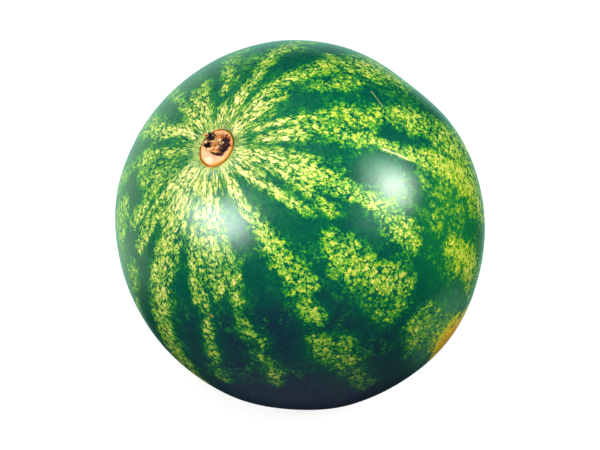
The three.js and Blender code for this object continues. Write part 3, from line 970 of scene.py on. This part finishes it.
# %% The dry stalk's finish
dry = Finish(bpy.data.materials.new("dry torn stalk"))
place_on_stalk = dry.attribute("spot", "Vector")
tone_field = dry.attribute("tone")
streaks = dry.noise(place_on_stalk, 0.9, 4.0, 0.7)
crumbs = dry.noise(place_on_stalk, 3.0, 3.0, 0.6)
mixed_tone = tone_field + (streaks - 0.5) * 0.5 + (crumbs - 0.5) * 0.3
stalk_colour = dry.ramp(mixed_tone, [
    (0.0, 6, 6, 12), (0.12, 14, 10, 18), (0.26, 66, 26, 34),
    (0.44, 142, 64, 28), (0.68, 204, 134, 52), (0.95, 240, 220, 172),
])
dry_material = dry.surface(
    Base_Color=stalk_colour,
    Roughness=0.7 + (crumbs - 0.5) * 0.3,
    Normal=dry.bump(crumbs + streaks, 0.30 * MM, 0.9),
    Specular_IOR_Level=0.2,
)

# %% Lean the stem end's pieces into place
lean_into_place(callus)
lean_into_place(remnant)
finish_piece(callus, "callus_pad", "stem_callus", cork_material)
finish_piece(remnant, "torn_stalk", "stem_remnant", dry_material)

# %% [markdown]
# ## The flower's scar
# At the far end the flower left a small corky button: a raised ring, a sunk groove and a nub where
# the style stood. It is made like the callus, ring by ring, and then turned to face the other way.

# %% Build the flower's button
button = start_disc(4.0 * MM, 0, 40)
extrude((0, 0, 0.3 * MM), 1.07)
extrude((0, 0, 0.55 * MM))
add_rings([(0.3, 0.3), (0.45, 0.18), (0.5, 0.0), (0.4, -0.12), (0.5, -0.26)])
add_rings([(0.4, 0.0), (0.35, 0.2), (0.3, 0.5), (0.3, 0.25), (0.3, 0.05)])
close_up()
round_off(button)
press_unevenly(button, 0.22, 0.9)
keep_field(button, "spot", places_in_mm(button))
button.matrix_world = Matrix.Translation((0, 0, -111.4 * MM)) @ Matrix.Rotation(math.pi, 4, "X")
lean_into_place(button)

# %% The button's finish
grey = Finish(bpy.data.materials.new("flower cork"))
spot = grey.attribute("spot", "Vector")
from_middle = grey.vector("LENGTH", grey.vector("MULTIPLY", spot, (1, 1, 0)))
flecks = grey.noise(spot, 1.6, 4.0, 0.65)
ringed = grey.ramp(from_middle * 0.23 + (flecks - 0.5) * 0.2, [
    (0.0, 70, 48, 34), (0.22, 120, 88, 58), (0.42, 92, 66, 44),
    (0.7, 172, 142, 98), (1.0, 140, 122, 80),
])
grey_material = grey.surface(
    Base_Color=grey.mix(grey.step(flecks, 0.5, 0.75) * 0.6, ringed, paint(196, 172, 126)),
    Roughness=0.68 + (flecks - 0.5) * 0.3,
    Normal=grey.bump(flecks, 0.25 * MM, 0.7),
)
finish_piece(button, "flower_button", "flower_scar", grey_material)

# %% [markdown]
# ## The floor
# The fruit stands on a plain pale floor that curves up into a round wall, like the paper sweep of a
# studio, so that a low camera sees no edge. A plane would do from above. The floor is kept out of
# the light that bounces, because it would wash out the deep underside.

# %% Lay the floor
floor_radius = 3.0
floor = start_disc(floor_radius, -0.1 * MM, 96)
for outwards, upwards in [(0.30, 0.04), (0.27, 0.12), (0.21, 0.22), (0.12, 0.28), (0.04, 0.34), (0, 2.5)]:
    extrude((0, 0, upwards), (floor_radius + outwards) / floor_radius)
    floor_radius += outwards
close_up(inwards=True)
bpy.ops.object.shade_smooth_by_angle(angle=math.radians(30))
floor.name = "studio"
pale = Finish(bpy.data.materials.new("pale floor"))
floor.data.materials.append(pale.surface(
    Base_Color=(0.35, 0.35, 0.35, 1), Roughness=0.9, Specular_IOR_Level=0.0,
    Emission_Color=(1, 1, 1, 1), Emission_Strength=0.82,
))
floor.visible_diffuse = False
floor.visible_glossy = False
floor.visible_shadow = False
print("floor has", count_triangles(floor), "triangles")

# %% [markdown]
# ## Lights
# Two big soft windows make the two highlights: one low at the front left, and one higher at the
# right, with a warm core and a dim green glint. These only shine. Three more lights only shade,
# which rounds the form off. One light could do both, but then the size of its highlight and the
# softness of its shading would be tied together. Lights that overlap as seen from the fruit stand at
# different distances, because of two in one plane only the first shows.

# %% Set the lights
LEFT = (-0.255, -0.914, 0.315)
LIGHTS = [
    # (name, direction, distance and size in m, watts, colour, duty)
    ("left window", LEFT, 1.3, (0.92, 0.54), 30, (0.86, 0.98, 0.96), "shine"),
    ("right window", (0.809, 0.280, 0.517), 1.3, (0.58, 0.62), 10, (0.48, 1.0, 0.68), "shine"),
    ("right core", (0.842, 0.263, 0.467), 1.2, (0.32, 0.27), 8.5, (1.0, 0.92, 0.82), "shine"),
    ("right glint", (0.938, -0.070, 0.340), 1.25, (0.20, 0.24), 1.1, (0.5, 1.0, 0.8), "shine"),
    ("left light", LEFT, 1.3, (0.6, 0.6), 17, (1.0, 1.0, 0.98), "shade"),
    ("right light", (0.877, 0.174, 0.448), 1.3, (0.6, 0.6), 17.5, (1.0, 0.98, 0.98), "shade"),
    ("fill light", (0.25, -0.45, 0.86), 2.0, (1.8, 1.8), 40, (1.0, 1.0, 0.98), "shade"),
]
for name, place, distance, size, power, colour, duty in LIGHTS:
    towards = Vector(place).normalized()
    bpy.ops.object.light_add(type="AREA", location=FRUIT_CENTRE + towards * distance)
    light = bpy.context.object
    light.name = name
    light.rotation_euler = towards.to_track_quat("Z", "Y").to_euler()
    light.data.shape = "ELLIPSE"
    light.data.size, light.data.size_y = size
    light.data.energy = power
    light.data.color = colour
    light.visible_glossy = duty == "shine"
    light.visible_diffuse = duty == "shade"

# %% [markdown]
# ## Surroundings
# What mirrors none of the lights mirrors the room. It is dark, with a little cool light from low
# down, and behind the fruit a pale greenish haze brightens its edges, most on the left. A panorama
# image would do too, but a few sums keep it plain.

# %% Set the surroundings
camera_right = Vector((math.cos(CAMERA_AZIMUTH), math.sin(CAMERA_AZIMUTH), 0))
world = bpy.data.worlds.new("surroundings")
bpy.context.scene.world = world
room = Finish(world)
looking = room.node("ShaderNodeTexCoord", {}, (), "Generated")
height = room.node("ShaderNodeSeparateXYZ", {}, (looking,), "Z")
behind = room.vector("DOT_PRODUCT", looking, tuple(-towards_camera))
leftwards = room.vector("DOT_PRODUCT", looking, tuple(-camera_right))
haze = room.step(behind + leftwards * 0.45, 0.55, 0.95) * room.step(height, -0.60, -0.44)
below = room.ramp(height * 0.5 + 0.5, [
    (0.0, 104, 112, 140), (0.06, 62, 68, 88),
    (0.15, 24, 28, 38), (0.4, 16, 20, 26),
])
hazy = room.mix(room.step(leftwards, 0.0, 0.7), paint(150, 218, 200), paint(200, 255, 200))
hazy = room.mix(room.step(leftwards, -0.65, -0.25), paint(196, 222, 120), hazy)
glow = room.mix(haze, below, hazy)
shine = room.node("ShaderNodeBackground", {}, {"Color": glow, "Strength": 1.15})
room.node("ShaderNodeOutputWorld", {}, {"Surface": shine})
bpy.context.scene.view_settings.view_transform = "Standard"
print("surroundings ready, view transform:", bpy.context.scene.view_settings.view_transform)

# %% [markdown]
